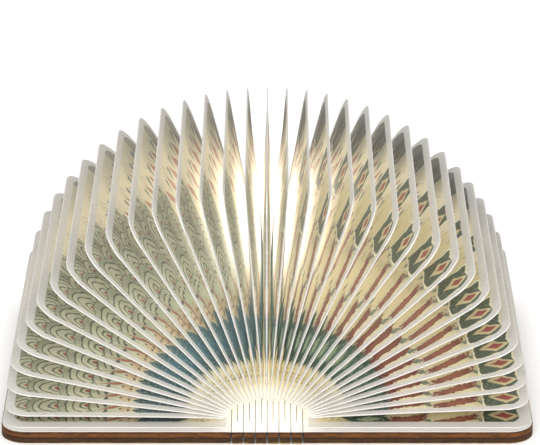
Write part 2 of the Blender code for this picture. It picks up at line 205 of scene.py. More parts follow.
def motif(tree, out, side, middle, pitch, half, lean=0.0, corners="ADD"):
    """A repeated figure: zero at its middle and one at its edge.

    The two distances from the middle are each a share of the figure's half size. Their sum gives a
    lozenge, and the larger of them, MAXIMUM, gives a bar. Lean slants it.
    """
    outwards = repeat(tree, out, pitch[0], middle[0])
    sideways = add(tree, "Math MULTIPLY_ADD", outwards, lean, repeat(tree, side, pitch[1], middle[1]))
    shares = [
        add(tree, "Math DIVIDE", add(tree, "Math ABSOLUTE", distance), size)
        for distance, size in ((outwards, half[0]), (sideways, half[1]))
    ]
    return add(tree, "Math " + corners, *shares)


def inside(tree, value, limit=1.0, edge=0.06):
    """One where a value is below a limit, with a soft edge."""
    return add(tree, "MapRange", value, limit - edge, limit + edge, 1.0, 0.0)


def scallops(tree, out, side, width):
    """How far a point lies from the foot of its scallop, as a share of the scallop's radius.

    Two sets of circles stand half a step apart in rows, and the first set laps over the second.
    """
    rows = []
    for shift in (0.0, 0.5):
        up = add(tree, "Math ADD", repeat(tree, out, width / 2, width / 2 * shift), width / 4)
        across = repeat(tree, side, width, width * shift)
        squares = add(tree, "Math ADD", overlap(tree, up, up), overlap(tree, across, across))
        rows.append(add(tree, "Math DIVIDE", add(tree, "Math SQRT", squares), width / 2))
    first = add(tree, "Math LESS_THAN", rows[0], 1.0)
    nearer = add(tree, "Math MULTIPLY", first, rows[0])
    farther = add(tree, "Math MULTIPLY", add(tree, "Math SUBTRACT", 1.0, first), rows[1])
    return add(tree, "Math ADD", nearer, farther)


# The camera, fitted to the leaf tips and the wooden edges of the photograph
camera = bpy.data.objects.new("camera", bpy.data.cameras.new("camera"))
bpy.context.scene.collection.objects.link(camera)
bpy.context.scene.camera = camera
camera.location = (0.00227, -1.12187, 0.48433)
camera.rotation_euler = (math.radians(90 - 20.898), 0.0, math.radians(0.0696))
camera.data.sensor_width = 36.0
camera.data.lens = 231.64
camera.data.clip_start = 0.01


# Walnut-faced ply, laser cut and oiled: long soft grain on its faces, scorched streaky layers on its edges
def walnut_ply():
    made, tree, shader = finish_of("walnut ply")
    place = add(tree, "TexCoord", pick="Object")
    height = add(tree, "SeparateXYZ", place, pick="Z")
    facing = add(tree, "SeparateXYZ", add(tree, "TexCoord", pick="Normal"), pick="Z")
    flat = add(tree, "Math GREATER_THAN", add(tree, "Math ABSOLUTE", facing), 0.6)
    # Walnut's pores are too fine to show, so the fibre is drawn 1.1 mm wide
    along = add(tree, "Mapping", place, Scale=(0.9 / MM, 0.03 / MM, 0.9 / MM))
    fibre = add(tree, "TexNoise", Vector=along, Scale=1.0, Detail=6.0, Roughness=0.6)
    wide = add(tree, "Mapping", place, Scale=(0.13 / MM, 0.009 / MM, 0.13 / MM))
    figure = add(tree, "TexNoise", Vector=wide, Scale=1.0, Detail=3.0, Distortion=0.8)
    grain = add(tree, "Math MULTIPLY_ADD", figure, 0.6, add(tree, "Math MULTIPLY", fibre, 0.45))
    face_stops = ((0.34, "#43291a"), (0.5, "#6f472b"), (0.62, "#895b37"), (0.74, "#a06f45"))
    face = coloured(add(tree, "ValToRGB", grain), face_stops)
    ends = add(tree, "Mapping", place, Scale=(0.24 / MM, 0.24 / MM, 3.4 / MM))
    streak = add(tree, "TexNoise", Vector=ends, Scale=1.0, Detail=5.0, Roughness=0.65)
    wander = add(tree, "Math MULTIPLY_ADD", streak, 1.2 * MM, -0.6 * MM)
    level = add(tree, "Math DIVIDE", add(tree, "Math ADD", height, wander), WOOD_TOP)
    layers = (
        (0.0, "#9a7a2e"), (0.07, "#72521f"), (0.13, "#332010"), (0.26, "#4d3317"), (0.42, "#3b2511"),
        (0.50, "#26170b"), (0.56, "#633a14"), (0.70, "#7c4a1c"), (0.86, "#683c17"), (0.95, "#3f2710"),
        (1.0, "#33200f"),
    )
    edge = coloured(add(tree, "ValToRGB", level), layers)
    dark = add(tree, "MapRange", streak, 0.46, 0.60, 0.0, 0.7)
    edge = add(tree, "MixRGB", dark, edge, "#22160d")
    scorch = add(tree, "TexNoise", Vector=place, Scale=0.16 / MM, Detail=3.0)
    edge = add(tree, "MixRGB", add(tree, "MapRange", scorch, 0.5, 0.75, 0.0, 0.4), edge, "#2d1d13")
    tree.links.new(add(tree, "MixRGB", flat, edge, face), shader.inputs["Base Color"])
    tree.links.new(add(tree, "MapRange", fibre, 0.0, 1.0, 0.45, 0.66), shader.inputs["Roughness"])
    shader.inputs["Specular IOR Level"].default_value = 0.25
    bump = add(tree, "Bump", Height=fibre, Strength=0.25, Distance=0.12 * MM)
    tree.links.new(bump, shader.inputs["Normal"])
    return made


# Lining paper, smooth and uncoated: even off-white with faint felt mottling
def lining_paper():
    made, tree, shader = finish_of("lining paper")
    place = add(tree, "TexCoord", pick="Object")
    # Paper fibre is too fine to show, so the felt is drawn 1.1 mm wide
    felt = add(tree, "TexNoise", Vector=place, Scale=0.9 / MM, Detail=5.0)
    cloud = add(tree, "TexNoise", Vector=place, Scale=0.045 / MM, Detail=2.0)
    tone = add(tree, "Math MULTIPLY_ADD", cloud, 0.6, add(tree, "Math MULTIPLY", felt, 0.4))
    colour = coloured(add(tree, "ValToRGB", tone), ((0.3, "#e2dfd9"), (0.7, "#edebe6")))
    tree.links.new(colour, shader.inputs["Base Color"])
    shader.inputs["Roughness"].default_value = 0.72
    # The light bar makes the paper beside it nearly white
    beside = add(tree, "Math ABSOLUTE", add(tree, "SeparateXYZ", place, pick="X"))
    lit = add(tree, "MapRange", beside, LINING_LIT_TO, LINING_DARK_FROM, 0.3, 0.0)
    shader.inputs["Emission Color"].default_value = linear("#fffaf0")
    tree.links.new(lit, shader.inputs["Emission Strength"])
    bump = add(tree, "Bump", Height=felt, Strength=0.2, Distance=0.05 * MM)
    tree.links.new(bump, shader.inputs["Normal"])
    return made


def print_layout(tree, root_mm, along_mm, page):
    """The places and masks that the layers of the print share.

    Root and along are the distances from the leaf's root and along the spine, in millimetres. Out and
    side are the same two, wandering by a millimetre or two as if drawn by hand, and bent is out with a
    zigzag in it. Page runs from 0 at the left end of the fan to 1 at the right. Turned is one on the right
    pages and left is one on the others, and front is one on the front third and behind on the rest.
    """
    spot = add(tree, "CombineXYZ", root_mm, along_mm, add(tree, "Math MULTIPLY", page, 7.0))
    drift = add(tree, "TexNoise", Vector=spot, Scale=0.12, Detail=2.0, pick="Color")
    drift_out, drift_side, cloud = add(tree, "SeparateXYZ", drift).node.outputs
    grit = add(tree, "TexNoise", Vector=spot, Scale=1.1, Detail=4.0)
    out = add(tree, "Math MULTIPLY_ADD", drift_out, 5.0, add(tree, "Math SUBTRACT", root_mm, 2.5))
    side = add(tree, "Math MULTIPLY_ADD", drift_side, 5.0, add(tree, "Math SUBTRACT", along_mm, 2.5))
    zigzag = add(tree, "Math ABSOLUTE", repeat(tree, side, ZIGZAG_PITCH))
    bent = add(tree, "Math ADD", add(tree, "Math MULTIPLY_ADD", zigzag, -1.1, out), 2.4)
    turned = add(tree, "MapRange", page, 0.42, 0.56)
    left = add(tree, "Math SUBTRACT", 1.0, turned)
    front = add(tree, "MapRange", along_mm, 36.0, 36.8, 1.0, 0.0)
    behind = add(tree, "Math SUBTRACT", 1.0, front)
    return SimpleNamespace(
        root=root_mm, along=along_mm, page=page, out=out, side=side, bent=bent, cloud=cloud, grit=grit,
        turned=turned, left=left, front=front, behind=behind,
    )


def ground_bands(tree, sheet):
    """Ground bands with zigzag edges, in one set of colours on the left and another on the right."""
    share = add(tree, "Math DIVIDE", sheet.bent, PRINT_REACH)
    left_stops = (
        (0.0, "#f3ecd6"), (0.06, "#f0e7c9"), (0.09, "#efe6c8"), (0.17, "#ece3c4"), (0.18, "#3f6468"),
        (0.30, "#5c8288"), (0.39, "#486c71"), (0.40, "#dccfa9"), (0.41, "#cdb997"), (0.46, "#c8b695"),
        (0.47, "#c3c8ae"), (0.60, "#b0b298"), (0.97, "#8c8b73"),
    )
    right_stops = (
        (0.0, "#f3ead0"), (0.06, "#f1e5c0"), (0.09, "#f0e4bd"), (0.17, "#ecdfb8"), (0.18, "#35574a"),
        (0.30, "#426453"), (0.37, "#385848"), (0.38, "#e0d8b6"), (0.60, "#d8cfa8"), (0.97, "#cbbf95"),
    )
    ground_left = coloured(add(tree, "ValToRGB", share), left_stops)
    ground_right = coloured(add(tree, "ValToRGB", share), right_stops)
    colour = add(tree, "MixRGB", sheet.turned, ground_left, ground_right)
    # The teal ink is nearly black on the outermost pages
    off_centre = add(tree, "Math ABSOLUTE", add(tree, "Math SUBTRACT", sheet.page, 0.5))
    outermost = add(tree, "MapRange", off_centre, 0.3, 0.44, 0.0, 0.6)
    in_teal = band(tree, sheet.bent, 13.2, 29.0, 0.4)
    return add(tree, "MixRGB", overlap(tree, outermost, in_teal), colour, "#26352f")


def mottled_ink(tree, sheet, colour):
    """Small pale specks and large deeper clouds in the ink."""
    pale = add(tree, "MapRange", sheet.grit, 0.5, 0.66, 0.0, 0.32)
    colour = add(tree, "MixRGB", pale, colour, "#ece6d2")
    deep = add(tree, "MapRange", sheet.cloud, 0.5, 0.64, 0.0, 0.35)
    return add(tree, "MixRGB", deep, colour, "#7d7f66")


def inner_figures(tree, sheet, colour):
    """Lozenges in the teal band, olive tufts nearer to the root and rows of dots on the tan band."""
    lozenge = motif(tree, sheet.out, sheet.side, (21.0, 7.0), (PRINT_REACH, 13.0), (4.6, 2.3))
    shown = overlap(tree, inside(tree, lozenge), add(tree, "MapRange", sheet.page, 0.38, 0.5))
    colour = add(tree, "MixRGB", add(tree, "Math MULTIPLY", shown, 0.85), colour, "#bfc8a8")
    blotch = add(tree, "MapRange", sheet.grit, 0.5, 0.56, 0.0, 0.85)
    tuft = overlap(tree, band(tree, sheet.root, 6.5, 11.5, 1.4), blotch)
    colour = add(tree, "MixRGB", tuft, colour, "#83804d")
    dot = motif(tree, sheet.out, sheet.side, (33.6, 0.0), (2.9, 2.1), (0.8, 0.75))
    dots = overlap(tree, inside(tree, dot), band(tree, sheet.bent, 30.4, 34.6, 0.3), sheet.left)
    return add(tree, "MixRGB", add(tree, "Math MULTIPLY", dots, 0.8), colour, "#3f3a30")


def cream_ground(tree, sheet, colour):
    """Cream on the outer half behind the front third, with fine hatching and slanted lozenges."""
    outer = band(tree, sheet.out, 34.5, 90.0, 0.4)
    colour = add(tree, "MixRGB", overlap(tree, sheet.behind, outer, 0.9), colour, "#ddd5b9")
    hatch = motif(tree, sheet.out, sheet.side, (45.0, 2.0), (23.0, 2.6), (99.0, 0.3), 0.5)
    clouded = add(tree, "MapRange", sheet.cloud, 0.47, 0.52, 0.0, 0.5)
    hatch = overlap(tree, inside(tree, hatch, 1.0, 0.3), clouded, sheet.behind, outer)
    colour = add(tree, "MixRGB", hatch, colour, "#77765a")
    for middle, half, lean, shade in (
        ((45.0, 45.0), (6.0, 2.6), 0.45, "#974a38"),
        ((50.0, 51.0), (4.4, 1.5), -0.3, "#56696d"),
        ((38.5, 49.0), (3.0, 1.1), 0.6, "#a9654d"),
    ):
        figure = inside(tree, motif(tree, sheet.out, sheet.side, middle, (17.0, 12.5), half, lean))
        figure = overlap(tree, figure, sheet.behind, outer, band(tree, sheet.root, 0.0, 68.0, 0.5))
        colour = add(tree, "MixRGB", add(tree, "Math MULTIPLY", figure, 0.85), colour, shade)
    return colour


def outlined_scallops(tree, sheet, colour):
    """Dark outlined scallops on the sage ground in front, each with a pale field and a brick foot."""
    scallop = scallops(tree, sheet.out, add(tree, "Math SUBTRACT", sheet.side, 8.0), SCALLOP_WIDTH)
    on_sage = overlap(tree, sheet.left, sheet.front, band(tree, sheet.bent, 43.0, 99.0, 0.3))
    fill = overlap(tree, inside(tree, scallop, 0.74, 0.03), on_sage, 0.45)
    colour = add(tree, "MixRGB", fill, colour, "#cac8aa")
    arc = add(tree, "Math ABSOLUTE", repeat(tree, scallop, 0.25))
    arc = overlap(tree, inside(tree, arc, 0.03, 0.01), inside(tree, scallop, 1.08, 0.02), on_sage)
    colour = add(tree, "MixRGB", add(tree, "Math MULTIPLY", arc, 0.85), colour, "#393b30")
    core = overlap(tree, inside(tree, scallop, 0.11, 0.02), on_sage)
    return add(tree, "MixRGB", core, colour, "#96483a")


def ticks_and_dashes(tree, sheet, colour):
    """A row of dark ticks and thin brick dashes between the scallops and the tan band."""
    tick = motif(tree, sheet.out, sheet.side, (41.5, 0.0), (PRINT_REACH, 3.6), (0.9, 1.3), 0.5)
    tick = overlap(tree, inside(tree, tick), sheet.left, sheet.front)
    colour = add(tree, "MixRGB", add(tree, "Math MULTIPLY", tick, 0.9), colour, "#30322a")
    dash = motif(tree, sheet.out, sheet.side, (37.5, 6.5), (PRINT_REACH, 14.0), (8.0, 0.9), 0.35)
    dash = overlap(tree, inside(tree, dash, 1.0, 0.2), sheet.left, sheet.front)
    return add(tree, "MixRGB", add(tree, "Math MULTIPLY", dash, 0.85), colour, "#a34c3a")


def brick_bars(tree, sheet, colour):
    """Ragged brick bars with darker rims, in two rows on the right pages."""
    rough = add(tree, "Math MULTIPLY_ADD", sheet.grit, 1.3, -0.65)
    for middle, half, lean in (((34.5, 7.0), (5.4, 2.5), -0.25), ((50.5, 6.5), (7.0, 2.1), -0.35)):
        bar = motif(tree, sheet.out, sheet.side, middle, (PRINT_REACH, 15.5), half, lean, "MAXIMUM")
        bar = add(tree, "Math ADD", bar, rough)
        bar_here = overlap(tree, inside(tree, bar, 1.0, 0.08), sheet.turned)
        colour = add(tree, "MixRGB", add(tree, "Math MULTIPLY", bar_here, 0.92), colour, "#8b4233")
        rim = overlap(tree, band(tree, bar, 0.62, 0.98, 0.06), sheet.turned, 0.6)
        colour = add(tree, "MixRGB", rim, colour, "#5d2a22")
    return colour


def chips_and_waves(tree, sheet, colour):
    """Slate chips on the right pages, and thin waves there behind the front third."""
    chip = motif(tree, sheet.out, sheet.side, (41.5, 5.5), (18.0, 7.75), (2.4, 1.4), 0.5)
    chip = overlap(tree, inside(tree, chip), band(tree, sheet.out, 38.0, 60.0, 0.4), sheet.turned, 0.8)
    colour = add(tree, "MixRGB", chip, colour, "#4d625b")
    sway = add(tree, "Math SINE", add(tree, "Math DIVIDE", sheet.side, 4.4))
    swayed = add(tree, "Math ADD", sheet.out, add(tree, "Math MULTIPLY", sway, 2.4))
    wave = add(tree, "Math ABSOLUTE", repeat(tree, swayed, 15.0, 41.0))
    wave = overlap(tree, inside(tree, wave, 0.5, 0.15), sheet.turned, sheet.behind, 0.7)
    wave = overlap(tree, wave, band(tree, sheet.out, 36.0, 66.0, 0.5))
    return add(tree, "MixRGB", wave, colour, "#a05a44")


def fore_edge_border(tree, sheet, colour):
    """A border of dark panels with a lozenge in each, along the fore edge of the right pages."""
    pitch = (PRINT_REACH, 42.0)
    panel = motif(tree, sheet.out, sheet.side, (66.0, 11.0), pitch, (6.0, 7.6), corners="MAXIMUM")
    panel_here = overlap(tree, inside(tree, panel, 1.0, 0.02), sheet.turned)
    pale_line = overlap(tree, inside(tree, panel, 1.12, 0.02), sheet.turned)
    colour = add(tree, "MixRGB", pale_line, colour, "#e3dcc0")
    colour = add(tree, "MixRGB", panel_here, colour, "#434f3c")
    speck = overlap(tree, panel_here, add(tree, "MapRange", sheet.grit, 0.56, 0.62, 0.0, 0.5))
    colour = add(tree, "MixRGB", speck, colour, "#93a082")
    gem = motif(tree, sheet.out, sheet.side, (67.0, 9.5), pitch, (5.0, 5.2))
    colour = add(tree, "MixRGB", overlap(tree, inside(tree, gem), sheet.turned), colour, "#cdbf95")
    return add(tree, "MixRGB", overlap(tree, inside(tree, gem, 0.56), sheet.turned), colour, "#98453a")


def darker_back(tree, sheet, colour):
    """Darker colour at the back end and in the outer corner there, less so on the left pages."""
    far = add(tree, "MapRange", sheet.along, 102.0, 106.0, 0.0, 0.7)
    outwards = add(tree, "MapRange", sheet.out, 56.0, 68.0)
    backwards = add(tree, "MapRange", sheet.along, 70.0, 94.0)
    by_page = add(tree, "MapRange", sheet.page, 0.3, 0.5, 0.35, 1.0)
    corner = overlap(tree, outwards, backwards, 0.9, by_page)
    return add(tree, "MixRGB", add(tree, "Math MAXIMUM", far, corner), colour, "#525348")


def printed_pattern(tree, root_mm, along_mm, page):
    """The colours printed on a leaf: zigzag bands from root to fore edge, with repeated figures on them."""
    sheet = print_layout(tree, root_mm, along_mm, page)
    colour = ground_bands(tree, sheet)
    figures = (
        mottled_ink, inner_figures, cream_ground, outlined_scallops, ticks_and_dashes, brick_bars,
        chips_and_waves, fore_edge_border, darker_back,
    )
    for printed in figures:
        colour = printed(tree, sheet, colour)
    return colour


def inked_part(tree, root_mm, along_mm, from_root):
    """One inside the printed oblong and zero on its unprinted rim.

    The oblong starts from_root millimetres from the root, and its outer corners are round.
    """
    from_middle = add(tree, "Math ABSOLUTE", add(tree, "Math SUBTRACT", along_mm, PRINT_MIDDLE))
    square_part = PRINT_RIM + PRINT_CORNER
    beyond_side = add(tree, "Math SUBTRACT", from_middle, PRINT_MIDDLE - square_part)
    beyond_side = add(tree, "Math MAXIMUM", beyond_side, 0.0)
    beyond_out = add(tree, "Math SUBTRACT", root_mm, PRINT_REACH - square_part)
    beyond_out = add(tree, "Math MAXIMUM", beyond_out, 0.0)
    side_square = add(tree, "Math MULTIPLY", beyond_side, beyond_side)
    reach = add(tree, "Math SQRT", add(tree, "Math MULTIPLY_ADD", beyond_out, beyond_out, side_square))
    start = add(tree, "MapRange", root_mm, from_root - 0.1, from_root + 0.1)
    return overlap(tree, inside(tree, reach, PRINT_CORNER, 0.12), start)


# Fibre paper, printed and folded double: a soft matt sheet, white at its rim, aglow where light enters
def printed_paper():
    made, tree, shader = finish_of("printed fibre paper")
    spread = add(tree, "SeparateXYZ", add(tree, "UVMap", uv_map="leaf")).node.outputs
    root_mm = add(tree, "Math MULTIPLY", spread[0], PRINT_REACH)
    along_mm = add(tree, "Math MULTIPLY", spread[1], PRINT_WIDTH)
    page = add(tree, "Attribute", attribute_name="page", pick="Fac")
    colour = printed_pattern(tree, root_mm, along_mm, page)
    inked = inked_part(tree, root_mm, along_mm, LEAF_PRINT_START)
    place = add(tree, "TexCoord", pick="Object")
    # The fibre is drawn 1.4 mm wide, far wider than the real one, so that it shows
    fibre = add(tree, "TexNoise", Vector=place, Scale=0.7 / MM, Detail=5.0)
    rim = coloured(add(tree, "ValToRGB", fibre), ((0.3, "#e6e3dd"), (0.7, "#f2efea")))
    colour = add(tree, "MixRGB", inked, rim, colour)
    # The bar's light fades over the first millimetres of a leaf, and gathers again around the middle of
    # the swell of the upright leaves
    near = add(tree, "MapRange", root_mm, 0.0, ROOT_GLOW_REACH, 1.0, 0.0)
    near = add(tree, "Math POWER", near, 2.0)
    middle = add(tree, "Math SUBTRACT", along_mm, SWELL_GLOW_ALONG)
    middle = add(tree, "Math DIVIDE", middle, SWELL_GLOW_HALF_WIDTH)
    height = add(tree, "Math SUBTRACT", root_mm, SWELL_GLOW_OUT)
    height = add(tree, "Math DIVIDE", height, SWELL_GLOW_HALF_HEIGHT)
    upright = add(tree, "Math MULTIPLY", add(tree, "Math SUBTRACT", page, 0.5), 3.0)
    far = overlap(tree, middle, middle)
    far = add(tree, "Math MULTIPLY_ADD", height, height, far)
    far = add(tree, "Math MULTIPLY_ADD", upright, upright, far)
    belly = add(tree, "Math EXPONENT", add(tree, "Math MULTIPLY", far, -1.0))
    glow = add(tree, "Math MULTIPLY_ADD", near, 0.08, add(tree, "Math MULTIPLY", belly, 0.62))
    # Painted light: the whole printed part also glows faintly, for light that passes through the paper
    glow = add(tree, "Math MULTIPLY_ADD", inked, 0.25, glow)
    lit = add(tree, "MapRange", add(tree, "Math ADD", near, belly), 0.0, 0.6, 0.0, 0.92)
    # Painted light: the base colour pales towards white where the bar's light gathers, like paper washed
    # out by it
    painted_light_colour = add(tree, "MixRGB", add(tree, "Math MULTIPLY", lit, 0.8), colour, "#f6f3ea")
    tree.links.new(painted_light_colour, shader.inputs["Base Color"])
    tree.links.new(add(tree, "MixRGB", lit, colour, "#fffaf0"), shader.inputs["Emission Color"])
    tree.links.new(glow, shader.inputs["Emission Strength"])
    shader.inputs["Roughness"].default_value = 0.6
    shader.inputs["Sheen Weight"].default_value = 0.15
    shader.inputs["Sheen Roughness"].default_value = 0.5
    bump = add(tree, "Bump", Height=fibre, Strength=0.12, Distance=0.05 * MM)
    tree.links.new(bump, shader.inputs["Normal"])
    return made


# The same fibre paper laid flat on each cover: matt, with a wider white rim in front and no glow
def printed_end_sheet():
    made, tree, shader = finish_of("printed end paper")
    parts = add(tree, "SeparateXYZ", add(tree, "TexCoord", pick="Object")).node.outputs
    from_spine = add(tree, "Math ABSOLUTE", parts[0])
    root_mm = add(tree, "Math MULTIPLY_ADD", from_spine, 1 / MM, -END_SHEET_ROOT)
    along_mm = add(tree, "Math MULTIPLY_ADD", parts[1], 1 / MM, PRINT_MIDDLE)
    page = add(tree, "Math GREATER_THAN", parts[0], 0.0)
    colour = printed_pattern(tree, root_mm, along_mm, page)
    behind_rim = add(tree, "MapRange", along_mm, END_SHEET_RIM - 0.1, END_SHEET_RIM + 0.1)
    inked = overlap(tree, inked_part(tree, root_mm, along_mm, END_SHEET_PRINT_START), behind_rim)
    tree.links.new(add(tree, "MixRGB", inked, "#e3e0da", colour), shader.inputs["Base Color"])
    shader.inputs["Roughness"].default_value = 0.6
    return made


def plain_finish(name, colour, roughness, metallic=0.0, grain=1.5, depth=0.1):
    """A moulded, plated or coated finish: small changes of tone and a fine bump over one colour.

    Grain is the bump's count of features per millimetre, fewer than the real finish has, because those
    are too fine to show, and depth is its strength.
    """
    made, tree, shader = finish_of(name)
    place = add(tree, "TexCoord", pick="Object")
    fine = add(tree, "TexNoise", Vector=place, Scale=grain / MM, Detail=4.0)
    wide = add(tree, "TexNoise", Vector=place, Scale=0.06 / MM, Detail=2.0)
    tone = add(tree, "MapRange", wide, 0.35, 0.65, 0.0, 0.25)
    darker = tuple(c * 0.8 for c in linear(colour)[:3]) + (1.0,)
    tree.links.new(add(tree, "MixRGB", tone, colour, darker), shader.inputs["Base Color"])
    shader.inputs["Metallic"].default_value = metallic
    rough = add(tree, "MapRange", fine, 0.0, 1.0, roughness - 0.06, roughness + 0.08)
    tree.links.new(rough, shader.inputs["Roughness"])
    bump = add(tree, "Bump", Height=fine, Strength=depth, Distance=0.05 * MM)
    tree.links.new(bump, shader.inputs["Normal"])
    return made


# Opal acrylic, extruded: milky and smooth, lit from inside with warm white in soft bright spots
def opal_acrylic():
    made, tree, shader = finish_of("opal acrylic")
    along = add(tree, "SeparateXYZ", add(tree, "TexCoord", pick="Object"), pick="Y")
    from_spot = add(tree, "Math ABSOLUTE", repeat(tree, along, BRIGHT_SPOT_PITCH))
    lit = add(tree, "MapRange", from_spot, 0.0, BRIGHT_SPOT_PITCH / 2, 1.6, 1.05)
    shader.inputs["Base Color"].default_value = linear("#f5f0e2")
    shader.inputs["Roughness"].default_value = 0.35
    shader.inputs["Emission Color"].default_value = linear("#fff8ea")
    tree.links.new(lit, shader.inputs["Emission Strength"])
    return made


wood = walnut_ply()
lining = lining_paper()
print_paper = printed_paper()
end_paper = printed_end_sheet()
opal = opal_acrylic()
# Moulded ABS: warm white and satin
tray_plastic = plain_finish("moulded ABS", "#e9e7e0", 0.45)
# Solder mask on a circuit board: dark green with a low gloss
solder_mask = plain_finish("solder mask", "#1f5a37", 0.35)
# The foil pouch of a flat cell: grey metal, softly crumpled
foil = plain_finish("aluminium foil pouch", "#b9bcc2", 0.3, metallic=1.0, grain=0.4, depth=0.3)
# Tinned steel shell of a socket: warm grey metal with blurred reflections
tinned = plain_finish("tinned steel", "#b5b3ae", 0.32, metallic=1.0)
# Nickel plating on a magnet: bright and faintly yellow
nickel = plain_finish("nickel plating", "#c9c5bd", 0.2, metallic=1.0)
# The glass tube of a magnet-worked switch: pale green and glossy
tube_glass = plain_finish("green soda glass", "#8fae9b", 0.12)


def mesh_piece(name, points, faces, material, smooth=True):
    """A closed mesh piece at the origin, from arrays of points and faces."""
    mesh = bpy.data.meshes.new(name)
    mesh.from_pydata(points.reshape(-1, 3).tolist(), [], faces)
    mesh.materials.append(material)
    if smooth:
        mesh.shade_smooth()
    piece = bpy.data.objects.new(name, mesh)
    bpy.context.scene.collection.objects.link(piece)
    return piece


def node_points(name):
    """The points of a CAD node as an array."""
    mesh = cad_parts[name].data
    flat = np.zeros(len(mesh.vertices) * 3)
    mesh.vertices.foreach_get("co", flat)
    return flat.reshape(-1, 3)


def leaf_plane(number):
    """The root, direction, normal and length of a leaf's middle plane, read from its solid."""
    points = node_points(f"leaf_{number:02d}")[:, [0, 2]]
    centre = (points.max(0) + points.min(0)) / 2
    spread = np.linalg.svd(points - points.mean(0), full_matrices=False)[2]
    along = spread[0] * np.sign(spread[0][1] + TINY * spread[0][0])
    # A nearly level leaf points away from a spot just above the middle of the spine
    if abs(along[1]) < NEARLY_LEVEL:
        along = spread[0] * np.sign(spread[0] @ (centre - np.array([0.0, FAN_CENTRE_HEIGHT])))
    across = np.array([along[1], -along[0]])
    reach = (points - centre) @ along
    side = (points - centre) @ across
    middle = centre + across * (side.max() + side.min()) / 2
    return middle + along * reach.min(), along, across, reach.max() - reach.min()


planes = [leaf_plane(number) for number in range(1, LEAF_COUNT + 1)]


def gap_line(number):
    """The gap to the nearer neighbour at a leaf's root, and how fast it widens along the leaf."""
    root, _, across, length = planes[number - 1]
    gaps = []
    for other in (number - 1, number + 1):
        if 1 <= other <= LEAF_COUNT:
            other_root, other_along = planes[other - 1][:2]
            ends = [abs((other_root + other_along * reach - root) @ across) for reach in (0.0, length)]
            gaps.append((ends[0], (ends[1] - ends[0]) / length))
    return min(gaps, key=lambda line: line[0] + line[1] * length / 2)


def half_thickness(number, reach, fore, from_end, near_edge):
    """Half the thickness of a leaf at points on its plane.

    It is a rounded rim plus a swell that rises smoothly from the fore edge, sinks towards both ends with
    the cube of the distance from the middle, and keeps within its share of the gap to the next leaf.
    Reach is the distance from the root, fore where the fore edge is, from_end the distance from the
    nearer end of the leaf, and near_edge the distance from the nearest edge.
    """
    rounding = np.clip(near_edge / (SEALED_RIM / 2), 0, 1)
    rim = SEALED_RIM / 2 * np.sqrt(1 - (1 - rounding) ** 2)
    rise = np.clip((fore[:, None] - reach - RIM_FLAT) / SWELL_REACH, 0, 1)
    rise = rise * rise * (3 - 2 * rise)
    ends = np.clip((from_end - RIM_FLAT) / (LEAF_WIDTH / 2 * END_FADE), 0, 1)
    ends = 1 - (1 - ends) ** 3
    swell = SWELL_DEPTH / 2 * rise * ends[:, None]
    gap_at_root, widening = gap_line(number)
    limit = FILL_OF_GAP * (gap_at_root + widening * reach) / 2
    room = np.maximum(limit - SEALED_RIM / 2, 0.0)
    # The swell eases off as its room runs short, and never passes it
    swell = np.minimum(swell * room / np.maximum(swell + room, TINY) * SWELL_GAIN, room)
    thick = np.minimum(rim + swell, np.maximum(limit, THINNEST_HALF))
    return np.where(near_edge <= 0, 0.0, thick)


def loop_faces(stations, steps):
    """The faces of a tube with closed ends: each station is a loop of twice as many points as steps."""
    ring = 2 * steps
    index = np.arange(stations * ring).reshape(stations, ring)
    after = np.roll(index, -1, axis=1)
    quads = np.stack([index[:-1], after[:-1], after[1:], index[1:]], -1).reshape(-1, 4)
    # Each end is closed by a strip of faces across its loop, with a triangle at either tip
    last = steps - 1
    cap = [[0, ring - 1, 1], [last, last + 2, last + 1]]
    cap += [[step, ring - step, ring - step - 1, step + 1] for step in range(1, last)]
    caps = [index[0][corners].tolist() for corners in cap]
    caps += [index[-1][corners[:1] + corners[:0:-1]].tolist() for corners in cap]
    return quads.tolist() + caps


def leaf_mesh(number):
    """A folded leaf as a flat pillow between sealed rims, with round fore corners.

    Each station along the spine is a closed loop from root to fore edge and back, half a thickness to
    either side of the leaf's plane. The outermost leaves droop towards the covers with the power 1.5 of
    the distance from their roots.
    """
    root, along, across, length = planes[number - 1]
    half = LEAF_WIDTH / 2
    place = half * np.sin(np.linspace(-1, 1, LEAF_STATIONS) * math.pi / 2)
    from_end = half - np.abs(place)
    cut = np.clip(LEAF_CORNER - from_end, 0, LEAF_CORNER)
    fore = length - (LEAF_CORNER - np.sqrt(np.maximum(LEAF_CORNER**2 - cut**2, 0)))
    start = np.clip(LEAF_ROOT_CORNER - from_end, 0, LEAF_ROOT_CORNER)
    share = (1 - np.cos(np.linspace(0, math.pi, LEAF_STEPS + 1))) / 2
    reach = start[:, None] + (fore - start)[:, None] * share
    near_edge = np.minimum(np.minimum(reach - start[:, None], fore[:, None] - reach), from_end[:, None])
    thick = half_thickness(number, reach, fore, from_end, near_edge)
    droop_share = max(0.0, 1 - min(number - 1, LEAF_COUNT - number) / DROOPING_LEAVES)
    droop = -np.sign(across[1]) * OUTER_LEAF_DROOP * droop_share * (reach / length) ** DROOP_POWER
    upper = np.concatenate([droop + thick, (droop - thick)[:, -2:0:-1]], axis=1)
    runs = np.concatenate([reach, reach[:, -2:0:-1]], axis=1)
    points = np.zeros((*runs.shape, 3))
    points[..., 0] = root[0] + along[0] * runs + across[0] * upper
    points[..., 2] = root[1] + along[1] * runs + across[1] * upper
    points[..., 1] = place[:, None]
    return points, loop_faces(LEAF_STATIONS, LEAF_STEPS), runs


